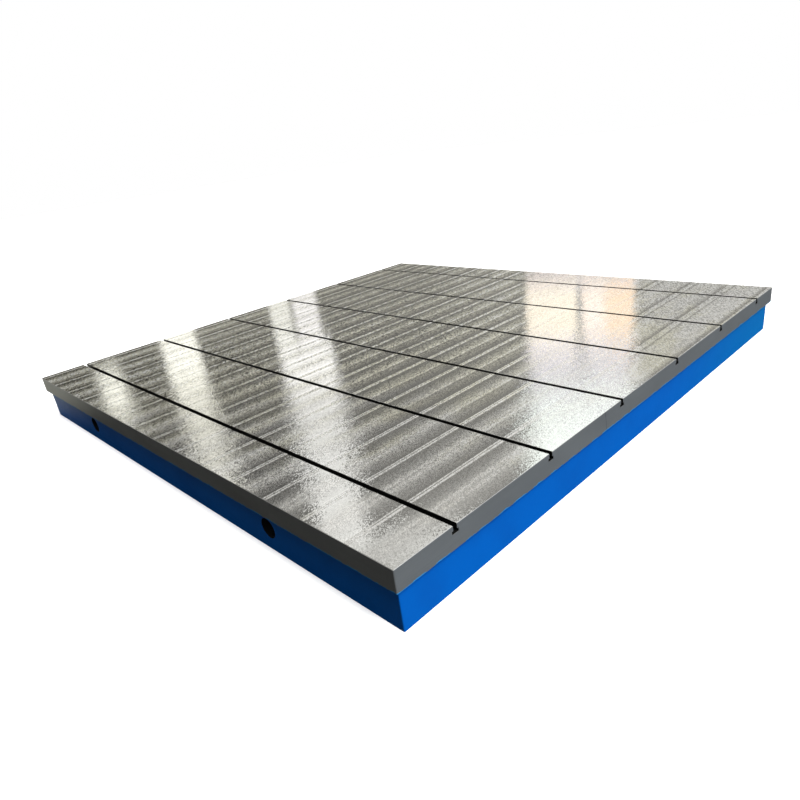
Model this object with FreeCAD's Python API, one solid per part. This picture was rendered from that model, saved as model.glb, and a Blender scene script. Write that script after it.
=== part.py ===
import FreeCAD, Part
import math
import os

from FreeCAD import Vector

# A square cast iron surface plate with T-slots. The origin is the middle of its foot, +X runs along
# the slots, +Y across them and +Z up to the working face. All sizes are in millimetres.

# Overall form
plate_length = 3000.0
plate_width = 3000.0
plate_height = 240.0

# Machined side band and the cast wall that stands back below it
band_depth = 82.0
wall_inset = 18.0
wall_thickness = 30.0
wall_corner_radius = 4.0
wall_draft_deg = 0.5
band_root_radius = 6.0
edge_chamfer = 2.0

# T-slots for 16 mm bolts, and the thick rail under each
slot_pitch = 500.0
slot_width = 18.0
slot_head_width = 30.0
slot_head_height = 12.0
slot_depth = 30.0
slot_mouth_chamfer = 1.5
rail_floor = 32.0
rail_side = 22.0
rail_draft_deg = 12.0

# Ribs of the open underside
skin_thickness = 40.0
rib_thickness = 20.0
rib_draft_deg = 0.9
rib_recess = 8.0
core_corner = 16.0
least_bay = 150.0

# Foot rim and levelling pads, which are the faces that stand on the floor
rim_extra = 22.0
rim_height = 30.0
pad_diameter = 110.0
pad_height = 30.0

# Lifting holes through the two walls that run along the slots
lifting_hole_span = 1640.0
lifting_hole_diameter = 80.0
lifting_hole_height = 92.0
boss_ring = 24.0
boss_depth = 12.0

# Reach of a cutting tool past the face that it starts from
overrun = 10.0

# Worked out from the sizes above
skin_underside = plate_height - skin_thickness
wall_top = plate_height - band_depth
slot_count = int(plate_width // slot_pitch)
cross_rib_pitch = lifting_hole_span / 3


def box_between(low, high):
    """A box from its lowest corner to its highest."""
    size = [b - a for a, b in zip(low, high)]
    return Part.makeBox(*size, Vector(*low))


def drafted_block(low, high, z_low, z_high, grow):
    """A block with the given plan at z_low that is grow wider on each side at z_high."""
    block = Part.makeWedge(
        low[0], 0, -high[1], -high[1] - grow, low[0] - grow,
        high[0], z_high - z_low, -low[1], -low[1] + grow, high[0] + grow,
    )
    block.rotate(Vector(0, 0, 0), Vector(1, 0, 0), 90)
    block.translate(Vector(0, 0, z_low))
    return block


def upright_edges(block):
    """The four edges of a block that stand between its bottom and its top."""
    height = block.BoundBox.ZLength
    return [e for e in block.Edges if e.BoundBox.ZLength > height / 2]


def core_block(low, high, z_low, z_high, grow):
    """A drafted hollow whose upright corners are cut flat across, as on a foundry core."""
    block = drafted_block(low, high, z_low, z_high, grow)
    return block.makeChamfer(core_corner, upright_edges(block))


def half_sizes(inset):
    """Half the length and half the width of the plate, less an inset on every side."""
    return plate_length / 2 - inset, plate_width / 2 - inset


def outer_form():
    """The machined band over the drafted wall, with the cast root between them rounded."""
    half_x, half_y = half_sizes(0)
    band = box_between((-half_x, -half_y, wall_top), (half_x, half_y, plate_height))
    rim = [e for e in band.Edges if e.BoundBox.ZMin > plate_height - 0.1]
    band = band.makeChamfer(edge_chamfer, upright_edges(band) + rim)
    draw_in = wall_top * math.tan(math.radians(wall_draft_deg))
    foot_x, foot_y = half_sizes(wall_inset + draw_in)
    wall = drafted_block((-foot_x, -foot_y), (foot_x, foot_y), 0, wall_top, draw_in)
    form = band.fuse(wall.makeFillet(wall_corner_radius, upright_edges(wall)))
    top_x, top_y = half_sizes(wall_inset)
    root = [e for e in form.Edges if lies_on_root(e, top_x, top_y)]
    return form.makeFillet(band_root_radius, root)


def lies_on_root(edge, top_x, top_y):
    """Whether an edge is part of the line where the wall meets the underside of the band."""
    box = edge.BoundBox
    level = abs(box.ZMin - wall_top) < 0.1 and abs(box.ZMax - wall_top) < 0.1
    within = box.XMax < top_x + 0.1 and box.XMin > -top_x - 0.1
    return level and within and box.YMax < top_y + 0.1 and box.YMin > -top_y - 0.1


def slot_lines():
    """The middle line of each T-slot, as its place along Y."""
    first = -(slot_count - 1) / 2 * slot_pitch
    return [first + i * slot_pitch for i in range(slot_count)]


def plain_rib_lines():
    """The ribs along the slots that carry no slot, midway between two slots."""
    lines = slot_lines()
    return [(a + b) / 2 for a, b in zip(lines, lines[1:])]


def cross_rib_lines():
    """The ribs across the slots, placed so that each lifting hole opens midway between two."""
    reach = plate_length / 2 - wall_inset - wall_thickness - least_bay
    each_side = int(reach // cross_rib_pitch)
    return [i * cross_rib_pitch for i in range(-each_side, each_side + 1)]


def bays(rib_lines, half_inside):
    """The clear spans between neighbouring ribs, and between the last ribs and the walls."""
    half_rib = rib_thickness / 2
    starts = [-half_inside] + [line + half_rib for line in rib_lines]
    ends = [line - half_rib for line in rib_lines] + [half_inside]
    return list(zip(starts, ends))


def underside_pockets():
    """The hollows of the underside, drafted so that each rib is thickest at the slab."""
    inside_x, inside_y = half_sizes(wall_inset + wall_thickness)
    taper = skin_underside * math.tan(math.radians(rib_draft_deg))
    long_ribs = sorted(slot_lines() + plain_rib_lines())
    pockets = []
    for x_low, x_high in bays(cross_rib_lines(), inside_x):
        for y_low, y_high in bays(long_ribs, inside_y):
            low, high = (x_low, y_low), (x_high, y_high)
            pockets.append(core_block(low, high, 0, skin_underside, -taper))
    return pockets


def rib_relief():
    """The shallow recess that keeps the ribs off the floor inside the walls."""
    inside_x, inside_y = half_sizes(wall_inset + wall_thickness)
    return box_between((-inside_x, -inside_y, -overrun), (inside_x, inside_y, rib_recess))


def slot_rails():
    """The bars under the slots, wider than the ribs that they run into."""
    inside_x = half_sizes(wall_inset + wall_thickness / 2)[0]
    bottom = plate_height - slot_depth - rail_floor
    top = skin_underside + skin_thickness / 4
    half_bottom = slot_head_width / 2 + rail_side
    half_top = half_bottom + (top - bottom) * math.tan(math.radians(rail_draft_deg))
    section = [(-half_bottom, bottom), (half_bottom, bottom), (half_top, top), (-half_top, top)]
    return [extrude_section(section, line, -inside_x, inside_x) for line in slot_lines()]


def extrude_section(section, line, x_low, x_high):
    """A bar along X with the given section, a list of (across, up), centred on a line."""
    points = [Vector(x_low, line + across, up) for across, up in section]
    face = Part.Face(Part.makePolygon(points + points[:1]))
    return face.extrude(Vector(x_high - x_low, 0, 0))


def foot_rim():
    """The thicker foot inside the walls, with a sloped top."""
    outside_x, outside_y = half_sizes(wall_inset + wall_thickness / 2)
    inside_x, inside_y = half_sizes(wall_inset + wall_thickness + rim_extra)
    bar = box_between((-outside_x, -outside_y, 0), (outside_x, outside_y, rim_height))
    low, high = (-inside_x, -inside_y), (inside_x, inside_y)
    return bar.cut(core_block(low, high, 0, rim_height, rim_extra / 2))


def levelling_pads():
    """Round pads under every second crossing of the plain ribs and the cross ribs."""
    pads = []
    for i, x in enumerate(cross_rib_lines()):
        for j, y in enumerate(plain_rib_lines()):
            if (i + j) % 2 == 0:
                pads.append(Part.makeCylinder(pad_diameter / 2, pad_height, Vector(x, y, 0)))
    return pads


def lifting_places():
    """The middle of each lifting hole at the inner face of its wall, with the way out of the plate."""
    inside_y = half_sizes(wall_inset + wall_thickness)[1]
    half_span = lifting_hole_span / 2
    return [(x, side * inside_y, side) for x in (-half_span, half_span) for side in (-1, 1)]


def lifting_bosses():
    """A ring of extra iron inside the wall round each lifting hole."""
    radius = lifting_hole_diameter / 2 + boss_ring
    bosses = []
    for x, y, side in lifting_places():
        start = Vector(x, y - side * boss_depth, lifting_hole_height)
        bosses.append(Part.makeCylinder(radius, boss_depth + wall_thickness / 2, start, Vector(0, side, 0)))
    return bosses


def lifting_holes():
    """The round bores through the wall and its boss."""
    bores = []
    for x, y, side in lifting_places():
        start = Vector(x, y - side * (boss_depth + overrun), lifting_hole_height)
        length = boss_depth + wall_thickness + wall_inset + 2 * overrun
        bores.append(Part.makeCylinder(lifting_hole_diameter / 2, length, start, Vector(0, side, 0)))
    return bores


def t_slots():
    """The T-slots, which run the whole length and are open at both ends."""
    half_x = half_sizes(0)[0] + overrun
    neck, head = slot_width / 2, slot_head_width / 2
    floor = plate_height - slot_depth
    mouth = neck + slot_mouth_chamfer
    right = [
        (head, floor), (head, floor + slot_head_height), (neck, floor + slot_head_height),
        (neck, plate_height - slot_mouth_chamfer), (mouth, plate_height), (mouth, plate_height + overrun),
    ]
    left = [(-across, up) for across, up in reversed(right)]
    return [extrude_section(right + left, line, -half_x, half_x) for line in slot_lines()]


def surface_plate():
    """The whole casting after machining."""
    hollowed = outer_form().cut(underside_pockets() + [rib_relief()])
    added = slot_rails() + [foot_rim()] + levelling_pads() + lifting_bosses()
    cast = hollowed.fuse(added).removeSplitter()
    return cast.cut(t_slots() + lifting_holes())


def write_node(name, shape):
    """Write one sub-part to its own file, and say how large it is."""
    solids = shape.Solids
    box = shape.BoundBox
    print(f"{name}: {len(solids)} solid, {box.XLength:.1f} x {box.YLength:.1f} x {box.ZLength:.1f} mm,")
    print(f"volume {shape.Volume / 1e9:.4f} cubic metres, valid {shape.isValid()}")
    node = solids[0] if len(solids) == 1 else shape
    node.exportStep(f"parts/{name}.step")


os.makedirs("parts", exist_ok=True)
write_node("surface_plate", surface_plate())
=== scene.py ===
import math

import bpy
from mathutils import Matrix, Vector


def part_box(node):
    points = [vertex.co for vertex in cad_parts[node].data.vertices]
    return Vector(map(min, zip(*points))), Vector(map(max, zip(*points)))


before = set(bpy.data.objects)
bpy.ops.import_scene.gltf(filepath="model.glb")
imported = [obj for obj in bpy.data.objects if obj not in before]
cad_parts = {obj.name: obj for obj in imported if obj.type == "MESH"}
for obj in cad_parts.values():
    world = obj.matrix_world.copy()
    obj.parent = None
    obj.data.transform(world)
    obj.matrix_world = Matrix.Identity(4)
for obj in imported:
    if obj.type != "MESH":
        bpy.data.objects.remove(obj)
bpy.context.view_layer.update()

# Everything is in metres, in the plate's own frame: +X along the T-slots, +Z up.
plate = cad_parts["surface_plate"]
plateLow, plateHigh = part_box("surface_plate")
plateSize = plateHigh - plateLow
print("frame loaded, plate", [round(side, 3) for side in plateSize])


# A node socket that takes part in sums, so that shader maths reads like maths.
class Wire:
    def __init__(self, board, socket):
        self.board = board
        self.socket = socket

    def calc(self, operation, *others):
        return self.board.add("ShaderNodeMath", {"operation": operation}, [self, *others])

    def __add__(self, other):
        return self.calc("ADD", other)

    def __radd__(self, other):
        return self.calc("ADD", other)

    def __sub__(self, other):
        return self.calc("SUBTRACT", other)

    def __rsub__(self, other):
        return self.board.add("ShaderNodeMath", {"operation": "SUBTRACT"}, [other, self])

    def __mul__(self, other):
        return self.calc("MULTIPLY", other)

    def __truediv__(self, other):
        return self.calc("DIVIDE", other)

    def __gt__(self, other):
        return self.calc("GREATER_THAN", other)

    def __lt__(self, other):
        return self.calc("LESS_THAN", other)


# The node tree of one material or of the world, filled from Python values and wires.
class Board:
    def __init__(self, owner):
        owner.use_nodes = True
        self.tree = owner.node_tree
        self.tree.nodes.clear()

    # settings are set first; values are socket values or wires, by number or by name
    def add(self, kind, settings=None, values=(), out=0):
        node = self.tree.nodes.new(kind)
        for name, value in (settings or {}).items():
            if name == "stops":
                self.setStops(node.color_ramp, value)
            else:
                setattr(node, name, value)
        pairs = values.items() if isinstance(values, dict) else enumerate(values)
        for key, value in pairs:
            if isinstance(value, Wire):
                self.tree.links.new(value.socket, node.inputs[key])
            else:
                node.inputs[key].default_value = value
        return Wire(self, node.outputs[out]) if node.outputs else None

    # a ramp's stops as (place, brightness), in order
    def setStops(self, ramp, stops):
        while len(ramp.elements) < len(stops):
            ramp.elements.new(1.0)
        for element, (place, brightness) in zip(ramp.elements, stops):
            element.position = place
            element.color = (brightness, brightness, brightness, 1)

    # 0 below low, 1 above high, and a smooth rise between
    def rise(self, value, low, high):
        settings = {"interpolation_type": "SMOOTHSTEP"}
        return self.add("ShaderNodeMapRange", settings, {0: value, 1: low, 2: high, 3: 0.0, 4: 1.0})

    # 1 between low and high, 0 outside, with soft edges
    def between(self, value, low, high, soft):
        return self.rise(value, low - soft, low + soft) - self.rise(value, high - soft, high + soft)

    # x and y times the two numbers of a direction, added up
    def along(self, place, direction):
        settings = {"operation": "DOT_PRODUCT"}
        return self.add("ShaderNodeVectorMath", settings, [place, (*direction, 0.0)], "Value")

    # a zone of the plate, as 0 before its low end along a direction and 1 past its high end
    def zone(self, place, direction, low, high):
        return self.rise(self.along(place, direction), low, high)

    # a number that changes over the plate: a base, and what each zone adds to it
    def zones(self, place, base, rows):
        total = base
        for direction, low, high, amount in rows:
            total = self.zone(place, direction, low, high) * amount + total
        return total

    def join(self, x, y, z):
        return self.add("ShaderNodeCombineXYZ", values=[x, y, z])

    def split(self, vector):
        parts = self.add("ShaderNodeSeparateXYZ", values=[vector])
        return [Wire(self, socket) for socket in parts.socket.node.outputs]

    def noise(self, place, scale, detail=2.0, roughness=0.5):
        values = {"Vector": place, "Scale": scale, "Detail": detail, "Roughness": roughness}
        return self.add("ShaderNodeTexNoise", None, values)

    # noise with its own number of grains per metre each way; each use has a layer of its own
    def streaks(self, u, v, grains, layer, detail=2.0, roughness=0.5):
        place = self.join(u * grains[0], v * grains[1], layer)
        return self.noise(place, 1.0, detail, roughness)

    # a patchwork of small cells, each with a random colour of its own
    def facets(self, u, v, grains):
        place = self.join(u * grains[0], v * grains[1], 0.0)
        settings = {"voronoi_dimensions": "2D"}
        return self.add("ShaderNodeTexVoronoi", settings, {"Vector": place, "Scale": 1.0}, "Color")

    # a factor that is 1 on average, from a value between 0 and 1
    def swing(self, value, amount):
        return value * amount + (1 - amount / 2)

    def blend(self, factor, first, second):
        return self.add("ShaderNodeMix", {"data_type": "RGBA"}, {0: factor, 6: first, 7: second}, 2)

    # a colour made brighter or darker by a wire
    def shade(self, colour, factor):
        return self.add("ShaderNodeVectorMath", {"operation": "SCALE"}, {0: colour, "Scale": factor})


# Object coordinates, whole and as three numbers
def readPlace(board):
    place = board.add("ShaderNodeTexCoord", out="Object")
    return place, board.split(place)


cameraValues = {
    "place": (2.5668, -2.3309, 1.2892),
    "right": (0.71060, 0.69252, -0.12439),
    "down": (0.19315, -0.36200, -0.91195),
    "forward": (-0.67657, 0.62400, -0.39100),
    "lens": 28.145,
    "sensor": 36.0,
    "shiftX": -0.016,
}


# The photograph's camera, solved from the plate's edges and slot lines.
def makeCamera(values):
    data = bpy.data.cameras.new("photoCamera")
    data.lens = values["lens"]
    data.sensor_width = values["sensor"]
    data.shift_x = values["shiftX"]
    camera = bpy.data.objects.new("photoCamera", data)
    bpy.context.collection.objects.link(camera)
    axes = [Vector(values["right"]), -Vector(values["down"]), -Vector(values["forward"])]
    turn = Matrix([list(axis) for axis in axes]).transposed()
    camera.matrix_world = Matrix.Translation(values["place"]) @ turn.to_4x4()
    bpy.context.scene.camera = camera


makeCamera(cameraValues)
print("camera set")


# Windows and light panels of the workshop, as seen in the working face. Azimuth is from +X
# towards +Y, elevation is above the horizon and edge is half of a soft edge, all in degrees.
windowValues = {
    "leftWindow": {"azimuth": (156.0, 159.0), "elevation": (11.0, 19.5), "edge": 0.25,
                   "colour": (1.0, 0.99, 0.89), "strength": 1.5},
    "leftWindowTop": {"azimuth": (155.9, 158.8), "elevation": (19.5, 32.0), "edge": 0.3,
                      "colour": (1.0, 0.99, 0.89), "strength": 1.15},
    "leftWindowFoot": {"azimuth": (156.0, 159.0), "elevation": (11.0, 17.0), "edge": 0.5,
                       "colour": (1.0, 1.0, 0.97), "strength": 0.4},
    "middleWindow": {"azimuth": (144.15, 149.15), "elevation": (16.2, 20.9), "edge": 0.2,
                     "colour": (1.0, 0.995, 0.98), "strength": 1.6},
    "middleWindowTop": {"azimuth": (144.15, 149.15), "elevation": (21.7, 34.5), "edge": 0.3,
                        "colour": (0.99, 0.995, 0.98), "strength": 1.12},
    "middleTransom": {"azimuth": (144.15, 149.15), "elevation": (20.9, 21.7), "edge": 0.25,
                      "colour": (1.0, 0.98, 0.97), "strength": 0.8},
    "middleWindowFootLeft": {"azimuth": (147.4, 149.2), "elevation": (11.0, 16.2), "edge": 0.2,
                             "colour": (1.0, 1.0, 0.94), "strength": 1.4},
    "middleWindowFootRight": {"azimuth": (144.9, 147.1), "elevation": (11.0, 16.2), "edge": 0.2,
                              "colour": (1.0, 0.98, 0.99), "strength": 1.5},
    "roofLight": {"azimuth": (131.0, 150.0), "elevation": (34.5, 36.8), "edge": 0.6,
                  "colour": (0.99, 1.0, 0.98), "strength": 0.74},
    "roofLightTop": {"azimuth": (131.0, 150.0), "elevation": (36.8, 60.0), "edge": 1.0,
                     "colour": (0.99, 1.0, 0.98), "strength": 0.35},
    "warmWindowLeft": {"azimuth": (121.1, 125.7), "elevation": (14.2, 18.9), "edge": 0.15,
                       "colour": (1.0, 0.88, 0.72), "strength": 1.15},
    "warmWindowRight": {"azimuth": (116.1, 120.68), "elevation": (14.2, 18.9), "edge": 0.15,
                        "colour": (1.0, 0.70, 0.45), "strength": 1.08},
    "warmWindowPale": {"azimuth": (118.7, 120.75), "elevation": (14.2, 18.9), "edge": 0.5,
                       "colour": (0.20, 0.60, 1.0), "strength": 0.33},
    "warmWindowBar": {"azimuth": (116.1, 120.75), "elevation": (16.2, 17.0), "edge": 0.35,
                      "colour": (0.20, 0.60, 1.0), "strength": 0.22},
    "warmSill": {"azimuth": (116.1, 125.5), "elevation": (12.6, 14.2), "edge": 0.25,
                 "colour": (1.0, 0.86, 0.84), "strength": 0.75},
    "violetLeft": {"azimuth": (121.15, 125.8), "elevation": (18.9, 21.4), "edge": 0.35,
                   "colour": (0.94, 0.89, 1.0), "strength": 0.84},
    "violetRight": {"azimuth": (116.1, 120.6), "elevation": (18.9, 21.4), "edge": 0.35,
                    "colour": (0.92, 0.89, 1.0), "strength": 0.80},
    "violetHaze": {"azimuth": (116.1, 126.0), "elevation": (21.4, 24.0), "edge": 0.4,
                   "colour": (0.88, 0.88, 1.0), "strength": 0.58},
    "greenWindow": {"azimuth": (115.0, 126.4), "elevation": (24.0, 34.0), "edge": 0.3,
                    "colour": (0.91, 1.0, 0.97), "strength": 1.1},
    "rearWindowLeft": {"azimuth": (-56.0, -44.0), "elevation": (6.0, 36.0), "edge": 0.4,
                       "colour": (1.0, 0.99, 0.95), "strength": 0.55},
    "rearWindowRight": {"azimuth": (-34.0, -22.0), "elevation": (6.0, 36.0), "edge": 0.4,
                        "colour": (0.96, 0.99, 1.0), "strength": 0.9},
    "sideWindowLeft": {"azimuth": (14.0, 26.0), "elevation": (6.0, 34.0), "edge": 0.4,
                       "colour": (0.96, 0.99, 1.0), "strength": 1.0},
    "sideWindowRight": {"azimuth": (52.0, 66.0), "elevation": (6.0, 34.0), "edge": 0.4,
                        "colour": (1.0, 0.99, 0.96), "strength": 1.0},
    "farWindowLeft": {"azimuth": (-168.0, -156.0), "elevation": (6.0, 34.0), "edge": 0.4,
                      "colour": (1.0, 0.99, 0.96), "strength": 0.8},
    "farLeftGlow": {"azimuth": (162.7, 164.6), "elevation": (14.8, 19.5), "edge": 0.5,
                    "colour": (1.0, 1.0, 0.90), "strength": 1.7},
}

roomValues = {
    "dimSide": 0.038,
    "brightSide": 0.30,
    "brightAzimuth": 95.0,
    "brightRange": (0.35, 1.0),      # cosines of the angle from the bright side
    "ceiling": 0.56,
    "ceilingRange": (0.45, 0.85),    # sines of the elevation
    "tint": (1.0, 0.985, 0.93),
}


# A box in azimuth and elevation, as 0 outside it and its strength inside.
def windowGlow(board, azimuth, elevation, values):
    across = board.between(azimuth, *values["azimuth"], values["edge"])
    upward = board.between(elevation, *values["elevation"], values["edge"])
    return across * upward * values["strength"]


# White where the camera looks past the floor, and the workshop for every other ray.
def makeWorld(room, windows):
    world = bpy.data.worlds.new("workshop")
    bpy.context.scene.world = world
    board = Board(world)
    x, y, z = board.split(board.add("ShaderNodeTexCoord", out="Generated"))
    azimuth = y.calc("ARCTAN2", x) * math.degrees(1)
    elevation = z.calc("ARCSINE") * math.degrees(1)
    facing = math.radians(room["brightAzimuth"])
    aboveZero = 1.0001       # keeps the root above 0 straight up and down
    level = (aboveZero - z * z).calc("SQRT")
    towards = (x * math.cos(facing) + y * math.sin(facing)) / level
    side = board.rise(towards, *room["brightRange"]) * (room["brightSide"] - room["dimSide"])
    base = side + room["dimSide"] + board.rise(z, *room["ceilingRange"]) * room["ceiling"]
    total = board.shade(room["tint"], base)
    for values in windows.values():
        glow = board.shade(values["colour"], windowGlow(board, azimuth, elevation, values))
        total = board.add("ShaderNodeVectorMath", {"operation": "ADD"}, [total, glow])
    seen = board.add("ShaderNodeLightPath", out="Is Camera Ray")
    roomLight = board.add("ShaderNodeBackground", None, {"Color": total})
    white = board.add("ShaderNodeBackground", None, {"Color": (1, 1, 1, 1)})
    mixed = board.add("ShaderNodeMixShader", None, [seen, roomLight, white])
    board.add("ShaderNodeOutputWorld", None, {"Surface": mixed})


lampValues = {
    "key": {"azimuth": 6.0, "elevation": 52.0, "angle": 18.0,
            "colour": (1.0, 0.99, 0.97), "strength": 2.9},
    "side": {"azimuth": 6.0, "elevation": 6.0, "angle": 20.0,
             "colour": (0.74, 0.98, 1.28), "strength": 1.0},
    "overhead": {"azimuth": 0.0, "elevation": 89.0, "angle": 40.0,
                 "colour": (1.0, 1.0, 1.0), "strength": 1.1, "mirrored": False},
}


# A sun lamp that shines from the given azimuth and elevation. Shiny iron doesn't mirror a lamp
# that has mirrored False.
def makeLamp(name, values):
    data = bpy.data.lights.new(name, "SUN")
    data.energy = values["strength"]
    data.angle = math.radians(values["angle"])
    data.color = values["colour"]
    lamp = bpy.data.objects.new(name, data)
    lamp.visible_glossy = values.get("mirrored", True)
    bpy.context.collection.objects.link(lamp)
    azimuth, elevation = math.radians(values["azimuth"]), math.radians(values["elevation"])
    level = math.cos(elevation)
    towards = Vector((level * math.cos(azimuth), level * math.sin(azimuth), math.sin(elevation)))
    lamp.rotation_mode = "QUATERNION"
    lamp.rotation_quaternion = towards.to_track_quat("Z", "Y")


floorValues = {
    "size": 60.0,
    "drop": 0.0004,            # keeps the floor just clear of the plate's foot
    "seenColour": (0.93, 0.93, 0.93, 1),
    "lift": 0.5,
    # painted shade beside the plate and painted light farther off, for every ray but the camera's
    "shadeNearColour": (0.022, 0.022, 0.021, 1),
    "lightFarColour": (0.42, 0.42, 0.37, 1),
    "farZone": ((-1.0, 0.5), 0.2, 1.3),
    "hiddenHalf": 1.46,        # the floor inside the plate's rim, which lies in the dark
}


# A pale floor that the plate stands on. Reflections see it as a shop floor, with painted shade
# beside the plate and painted light from the windows farther behind it.
def makeFloor(values):
    half = values["size"] / 2
    level = -values["drop"]
    mesh = bpy.data.meshes.new("floor")
    corners = [(-half, -half, level), (half, -half, level), (half, half, level), (-half, half, level)]
    mesh.from_pydata(corners, [], [(0, 1, 2, 3)])
    floor = bpy.data.objects.new("floor", mesh)
    bpy.context.collection.objects.link(floor)
    material = bpy.data.materials.new("paleFloor")
    board = Board(material)
    place, (x, y, z) = readPlace(board)
    far = board.zone(place, *values["farZone"])
    seen = board.add("ShaderNodeLightPath", out="Is Camera Ray")
    seen = seen * (x.calc("ABSOLUTE").calc("MAXIMUM", y.calc("ABSOLUTE")) > values["hiddenHalf"])
    # the floor's colour for reflections holds painted shade near the plate and painted light far off
    shopShadeAndLight = board.blend(far, values["shadeNearColour"], values["lightFarColour"])
    shop = board.add("ShaderNodeBsdfDiffuse", None, {"Color": shopShadeAndLight})
    pale = board.add("ShaderNodeBsdfDiffuse", None, {"Color": values["seenColour"]})
    lift = board.add("ShaderNodeEmission", None, {"Strength": values["lift"]})
    lifted = board.add("ShaderNodeAddShader", None, [pale, lift])
    mixed = board.add("ShaderNodeMixShader", None, [seen, shop, lifted])
    board.add("ShaderNodeOutputMaterial", None, {"Surface": mixed})
    mesh.materials.append(material)


makeWorld(roomValues, windowValues)
for lampName, lampSettings in lampValues.items():
    makeLamp(lampName, lampSettings)
makeFloor(floorValues)
bpy.context.scene.view_settings.view_transform = "Standard"
print("room, lamps and floor made")


# Brightness of the working face over one planer pass, from one double bright line to the next.
nearPassStops = [
    (0.000, 0.80), (0.036, 0.80), (0.048, 0.20), (0.100, 0.24), (0.150, 0.26), (0.200, 0.30),
    (0.250, 0.34), (0.300, 0.42), (0.350, 0.49), (0.390, 0.60), (0.425, 0.69), (0.475, 0.57),
    (0.500, 0.57), (0.540, 0.64), (0.575, 0.61), (0.610, 0.53), (0.650, 0.47), (0.700, 0.42),
    (0.750, 0.36), (0.800, 0.31), (0.860, 0.28), (0.885, 0.23), (0.905, 0.13), (0.930, 0.13),
    (0.952, 0.80), (0.970, 0.80), (0.979, 0.34), (0.990, 0.34), (1.000, 0.80),
]

# The same away from the front of the plate, where the second half of each pass is darker.
farPassStops = [
    (0.000, 0.96), (0.036, 0.96), (0.060, 0.36), (0.097, 0.16), (0.147, 0.27), (0.197, 0.34),
    (0.247, 0.42), (0.297, 0.47), (0.347, 0.51), (0.397, 0.63), (0.447, 0.62), (0.497, 0.80),
    (0.522, 0.78), (0.547, 0.52), (0.572, 0.36), (0.622, 0.43), (0.672, 0.40), (0.722, 0.36),
    (0.772, 0.30), (0.822, 0.24), (0.872, 0.15), (0.905, 0.12), (0.930, 0.15), (0.952, 0.92),
    (0.970, 0.96), (0.979, 0.55), (0.990, 0.55), (1.000, 0.96),
]

# A zone is a direction, where the zone begins and ends along it, and what it adds, if anything.
strokeValues = {
    "passPitch": 0.2117,       # one stroke of the planer's tool box
    "firstPass": 1.3027,
    "lean": (0.0171, 0.0183, 0.0077),    # passes that the strokes shift for y * y, y * x and y
    "driftGrains": (0.3, 0.7),
    "drift": 0.015,
    "farZone": ((0.0, 1.0), -1.1, -0.4),
    "middleTone": 0.38,
    "passSwing": 0.10,
    "lineGrains": (260.0, 1.3),
    "lineSwing": 0.40,
    "wideGrains": (42.0, 0.5),
    "wideSwing": 0.20,
    "cloudGrains": (3.0, 2.0),
    "cloudSwing": 0.20,
    "contrast": 0.52,
    "contrastZones": [((1.0, 1.0), -2.4, -0.2, 0.34), ((-1.0, -1.0), 1.5, 2.5, 0.55)],
    "rightZone": ((2.04, 1.0), 2.80, 3.0),
    "rightGain": 0.7,
    "rightCap": 0.46,
    "calmZone": ((1.376, 1.0), 1.10, 1.35),
    "calmLoss": 0.55,
    "paintedLightBase": 1.00,           # painted light and shade: the face's brightness, raised or lowered over zones
    "paintedLightZones": [((1.0, 1.0), 0.1, 1.2, 0.50), ((1.0, 1.0), 1.2, 2.2, 0.10),
                 ((-1.0, -1.0), 0.6, 2.0, 0.50), ((1.0, -1.0), 1.1, 2.0, 0.29),
                 ((1.0, -1.0), 2.60, 2.90, -0.29)],
}


# The planed face: its passes, fine feed lines and slow clouds. The passes are calmer over the
# right of the face, and wide and bright at its right edge. Returns their brightness, the painted
# light and shade over zones of the face, and how calm they are.
def planedTone(board, place, x, y, values):
    drift = (board.streaks(x, y, values["driftGrains"], 0.0, detail=1.0) - 0.5) * values["drift"]
    leanSquare, leanCross, leanStraight = values["lean"]
    lean = y * (y * leanSquare + x * leanCross + leanStraight)
    strokes = (x - values["firstPass"]) / values["passPitch"] + lean + drift
    phase = strokes.calc("FRACT")
    nearTone = board.add("ShaderNodeValToRGB", {"stops": nearPassStops}, [phase])
    farTone = board.add("ShaderNodeValToRGB", {"stops": farPassStops}, [phase])
    tone = nearTone + (farTone - nearTone) * board.zone(place, *values["farZone"])
    contrast = board.zones(place, values["contrast"], values["contrastZones"])
    right = board.zone(place, *values["rightZone"])
    calm = board.zone(place, *values["calmZone"]) * (1 - right)
    middle = values["middleTone"]
    tone = (tone - middle) * (1 - calm * values["calmLoss"]) * contrast + middle
    tone = (tone * (1 + right * values["rightGain"])).calc("MINIMUM", 1 - right * values["rightCap"])
    settings = {"noise_dimensions": "1D"}
    ownTone = board.add("ShaderNodeTexWhiteNoise", settings, {"W": strokes.calc("FLOOR")})
    lines = board.streaks(x, y, values["lineGrains"], 3.0, detail=3.0, roughness=0.6)
    wide = board.streaks(x, y, values["wideGrains"], 7.0)
    clouds = board.streaks(x, y, values["cloudGrains"], 11.0, detail=3.0)
    tone = tone * board.swing(ownTone, values["passSwing"]) * board.swing(lines, values["lineSwing"])
    tone = tone * board.swing(wide, values["wideSwing"]) * board.swing(clouds, values["cloudSwing"])
    return tone, board.zones(place, values["paintedLightBase"], values["paintedLightZones"]), calm


markValues = {
    "hairHalf": 0.0016,        # a long fine scratch that bends over the left of the face
    "hairSpan": (-0.47, 0.12),
    "hairStart": (-0.44, -1.033),
    "hairSlope": -0.284,
    "hairKnee": -0.06,
    "hairBend": 0.173,
    "chipPlace": (-0.092, -0.958),
    "chipRadius": 0.006,
    "lift": 0.60,
}


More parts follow.
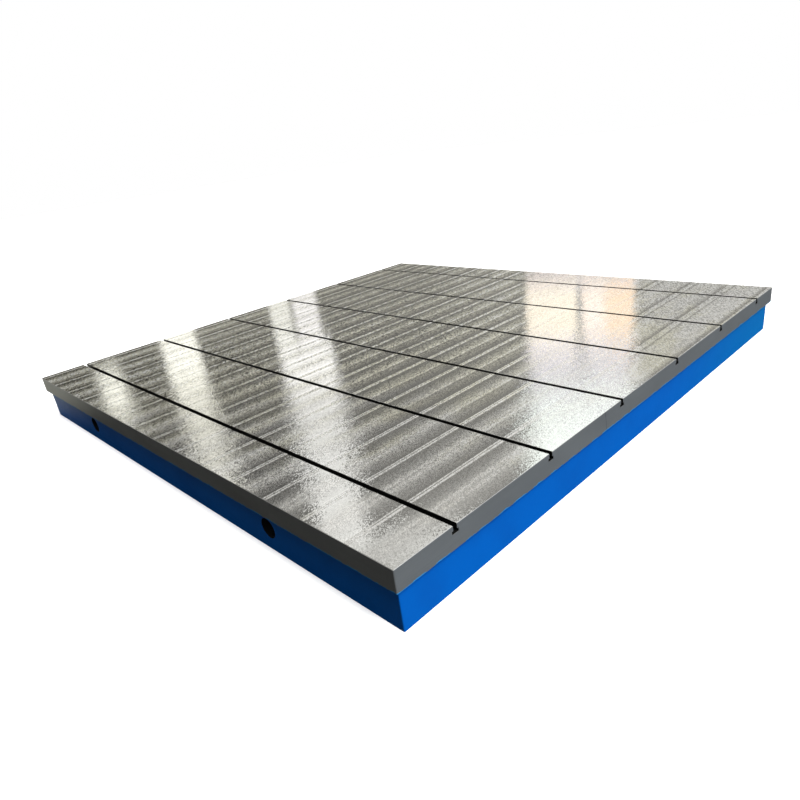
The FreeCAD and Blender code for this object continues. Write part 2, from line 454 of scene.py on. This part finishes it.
# A fine bent scratch and one small bright chip, as 0 beside them and their lift on them.
def faceMarks(board, x, y, values):
    startX, startY = values["hairStart"]
    fromStart = x - startX
    line = fromStart * values["hairSlope"] + startY
    line = line - fromStart * (x - values["hairKnee"]) * values["hairBend"]
    low, high = values["hairSpan"]
    hair = ((y - line).calc("ABSOLUTE") < values["hairHalf"]) * (x > low) * (x < high)
    chipX, chipY = values["chipPlace"]
    across, along = x - chipX, y - chipY
    chip = (across * across + along * along) < values["chipRadius"] ** 2
    return hair.calc("MAXIMUM", chip) * values["lift"]


grainValues = {
    "nearGrains": (290.0, 150.0),
    "farGrains": (165.0, 62.0),
    "backZone": ((-1.0, 1.0), -2.4, 0.2),
    "pepper": 1.3,             # how strongly the grain shows as light and dark
    "pepperZones": [((-1.0, -0.5), -1.4, 0.6, 0.8), ((-1.0, 0.0), 0.9, 1.4, -0.7)],
    "nearTilt": 0.07,
    "nearFade": 0.8,
    "farTilt": 0.014,
    "wornZones": [((1.0, -1.0), 1.8, 2.8, -0.6)],
}


# Pits and crystals of the iron: a grain of brightness, and a small tilt of the face that
# breaks up the edges of what it mirrors. Both are coarser towards the back, and worn smoother
# at the front corner.
def ironGrain(board, place, x, y, values):
    near = board.facets(x + y, y - x, values["nearGrains"])
    far = board.facets(x + y, y - x, values["farGrains"])
    nearX, nearY, nearTone = [part - 0.5 for part in board.split(near)]
    farX, farY, farTone = [part - 0.5 for part in board.split(far)]
    back = board.zone(place, *values["backZone"])
    nearShare = (1 - back * values["nearFade"]) * values["nearTilt"]
    farShare = back * values["farTilt"]
    tiltX = nearX * nearShare + farX * farShare
    tiltY = nearY * nearShare + farY * farShare
    worn = board.zones(place, 1.0, values["wornZones"])
    patchy = board.zones(place, 1.0, values["pepperZones"])
    tone = (nearTone + (farTone - nearTone) * back) * values["pepper"]
    return tone * patchy * worn, board.join(tiltX * worn, tiltY * worn, 1.0)


slotValues = {
    # near black: painted shade deep inside the T-slots
    "colour": (0.012, 0.012, 0.011, 1),
    "pitch": 0.5,
    "half": 0.0158,
    "floor": 0.2095,
    "top": 0.2397,
    "rim": 0.0016,             # the slots' ends, which have the side band's finish
}


# 1 on the walls of the T-slots and 0 beside them
def slotMask(board, x, y, z, values):
    reach = x.calc("ABSOLUTE").calc("MAXIMUM", y.calc("ABSOLUTE"))
    outer = reach > (plateHigh.x - values["rim"])
    steps = y / values["pitch"]
    across = (steps.calc("FRACT") - 0.5).calc("ABSOLUTE") * values["pitch"]
    return (across < values["half"]) * (z < values["top"]) * (z > values["floor"]) * (1 - outer)


bandValues = {
    "colour": (0.275, 0.283, 0.285),
    "markGrains": (3.0, 900.0),
    "markSwing": 0.36,
    "stainGrains": (4.0, 9.0),
    "stainSwing": 0.30,
    "scratchPlace": -0.375,    # a scored line down the right side of the band
    "scratchLevel": 0.2,
    "scratchLean": 0.12,
    "scratchHalf": 0.0016,
    "scratchLoss": 0.45,
    "scratchReach": 0.01,
}


# The milled side band: level cutter marks, faint stains and one scored line. Returns its colour
# and the marks.
def bandFinish(board, x, y, z, values):
    marks = board.streaks(x + y, z, values["markGrains"], 2.0, detail=3.0, roughness=0.6)
    stains = board.streaks(x + y, z, values["stainGrains"], 4.0, detail=3.0)
    lean = (z - values["scratchLevel"]) * values["scratchLean"]
    scratch = (y - values["scratchPlace"] + lean).calc("ABSOLUTE") < values["scratchHalf"]
    scratch = scratch * (x > plateHigh.x - values["scratchReach"])
    tone = board.swing(marks, values["markSwing"]) * board.swing(stains, values["stainSwing"])
    return board.shade(values["colour"], tone * (1 - scratch * values["scratchLoss"])), marks


# Bright machined iron: the planed working face, the milled side band and the T-slots.
ironValues = {
    "faceTint": (1.0, 0.972, 0.83, 1),
    "coolTint": (0.985, 0.972, 0.945, 1),
    "hueGrains": (9.0, 3.0),
    "coolZones": [((0.25, -0.25), 0.70, 1.10), ((0.16, 0.16), 0.65, 0.95)],
    "darkestGrain": 0.08,
    "faceSkin": 0.0006,        # the face's own finish goes down this far
    "faceMetallic": 1.0,
    "faceRoughness": 0.50,
    "chamferGlintColour": (0.40, 0.40, 0.39, 1),
    "chamferFoot": 0.2384,
    "bandMetallic": 0.55,
    "bandRoughness": 0.36,
    "markRoughness": 0.10,
    "filmTint": (0.95, 0.945, 0.92),
    "filmGrain": 0.12,
    "filmRoughness": 0.04,
    "filmShare": 0.45,         # how much of a middling stroke shines as an oiled, polished film
    "shareFall": 0.85,         # bright rough strokes shine less, so windows mirror evenly
    "calmShare": 0.22,
    "shareRange": (0.05, 0.75),
}


# The face is two finishes in one: rough strokes that carry the tone of each pass, and over
# them a grainy oiled polish that mirrors the windows.
def ironSurface(board, place, x, y, z, values):
    tone, paintedZoneLight, calm = planedTone(board, place, x, y, strokeValues)
    grain, tilt = ironGrain(board, place, x, y, grainValues)
    # the face's tone is brightened or darkened by painted light and shade over zones
    face = tone * paintedZoneLight * (grain + 1.0).calc("MAXIMUM", values["darkestGrain"])
    face = face + faceMarks(board, x, y, markValues)
    hue = board.streaks(x, y, values["hueGrains"], 21.0)
    frontCool, backCool = [board.rise(board.along(place, direction) + hue, low, high)
                           for direction, low, high in values["coolZones"]]
    cool = frontCool.calc("MAXIMUM", backCool)
    faceTint = board.blend(cool, values["faceTint"], values["coolTint"])
    bandColour, marks = bandFinish(board, x, y, z, bandValues)
    onTop = z > (plateHigh.z - values["faceSkin"])
    # the chamfer strip along the top edges is painted lighter than the band: a painted highlight for
    # the glint along them
    colour = board.blend(z > values["chamferFoot"], bandColour, values["chamferGlintColour"])
    colour = board.blend(onTop, colour, board.shade(faceTint, face))
    # the T-slot walls take the near-black painted shade
    colour = board.blend(slotMask(board, x, y, z, slotValues), colour, slotValues["colour"])
    extraMetallic = values["faceMetallic"] - values["bandMetallic"]
    extraRoughness = values["faceRoughness"] - values["bandRoughness"]
    rough = board.add("ShaderNodeBsdfPrincipled", None, {
        "Base Color": colour,
        "Metallic": onTop * extraMetallic + values["bandMetallic"],
        "Roughness": onTop * extraRoughness + marks * values["markRoughness"] + values["bandRoughness"],
    })
    film = board.add("ShaderNodeBsdfPrincipled", None, {
        "Base Color": board.shade(values["filmTint"], grain * values["filmGrain"] + 1.0),
        "Metallic": 1.0,
        "Roughness": values["filmRoughness"],
        "Normal": board.add("ShaderNodeVectorMath", {"operation": "NORMALIZE"}, [tilt]),
    })
    least, most = values["shareRange"]
    share = (strokeValues["middleTone"] - tone) * values["shareFall"] + values["filmShare"]
    share = (share + calm * values["calmShare"]).calc("MAXIMUM", least).calc("MINIMUM", most)
    return board.add("ShaderNodeMixShader", None, [onTop * share, rough, film])


# Blue enamel over the cast walls and the underside.
paintValues = {
    "colour": (0.0, 0.130, 0.55, 1),
    "deepColour": (0.0, 0.115, 0.50, 1),
    "cloudScale": 5.0,
    "cloudRange": (0.35, 0.7),
    "farGlareColour": (0.0, 0.165, 0.49, 1),
    "farGlareZone": ((0.0, 1.0), 0.0, 1.5),
    "topLevel": 0.1596,        # the brushed upper edge of the paint, on the lower edge of the band
    "topWander": 0.0120,
    "wanderScale": 20.0,
    "beadColour": (0.05, 0.30, 0.55, 1),    # thin paint along its brushed edge
    "beadDepth": 0.0034,
    "beadShare": 0.8,
    "boreShadeColour": (0.012, 0.013, 0.015, 1),
    "boreSpan": 0.82,
    "boreLevel": 0.092,
    "boreRadius": 0.0403,
    "peelScale": 420.0,
    "peelHeight": 0.35,
    "castScale": 38.0,
    "castHeight": 2.5,
    "bumpStrength": 0.6,
    "bumpDistance": 0.0003,
    "roughness": 0.34,
    "cloudRoughness": 0.14,
    "specular": 0.24,
}


# Height of the brushed upper edge of the paint
def paintEdge(board, place, values):
    wander = board.noise(place, values["wanderScale"], detail=4.0, roughness=0.7) * 2 - 1
    return wander * values["topWander"] + values["topLevel"]


# Glossy enamel on the rough casting. The bores of the lifting holes are bare iron, with painted shade
# that makes them near black.
def paintSurface(board, place, x, z, edge, values):
    clouds = board.noise(place, values["cloudScale"], detail=3.0)
    peel = board.noise(place, values["peelScale"])
    cast = board.noise(place, values["castScale"], detail=3.0, roughness=0.55)
    across, up = x.calc("ABSOLUTE") - values["boreSpan"], z - values["boreLevel"]
    inBore = (across * across + up * up) < values["boreRadius"] ** 2
    bead = z > (edge - values["beadDepth"])
    deep = board.rise(clouds, *values["cloudRange"])
    colour = board.blend(deep, values["colour"], values["deepColour"])
    # the back half of the walls is painted paler and greener: a painted reflection, the glare on the
    # wall's far end
    colour = board.blend(board.zone(place, *values["farGlareZone"]), colour, values["farGlareColour"])
    colour = board.blend(bead * values["beadShare"], colour, values["beadColour"])
    # the bores are bare iron, darkened to near black by painted shade
    colour = board.blend(inBore, colour, values["boreShadeColour"])
    bump = board.add("ShaderNodeBump", None, {
        "Strength": values["bumpStrength"],
        "Distance": values["bumpDistance"],
        "Height": peel * values["peelHeight"] + cast * values["castHeight"],
    })
    return board.add("ShaderNodeBsdfPrincipled", None, {
        "Base Color": colour,
        "Metallic": 0.0,
        "Roughness": clouds * values["cloudRoughness"] + values["roughness"],
        "Specular IOR Level": values["specular"],
        "Normal": bump,
    })


def makeCastingMaterial():
    material = bpy.data.materials.new("casting")
    board = Board(material)
    place, (x, y, z) = readPlace(board)
    iron = ironSurface(board, place, x, y, z, ironValues)
    edge = paintEdge(board, place, paintValues)
    paint = paintSurface(board, place, x, z, edge, paintValues)
    mixed = board.add("ShaderNodeMixShader", None, [z < edge, iron, paint])
    board.add("ShaderNodeOutputMaterial", None, {"Surface": mixed})
    return material


plate.data.materials.clear()
plate.data.materials.append(makeCastingMaterial())
print("casting dressed")
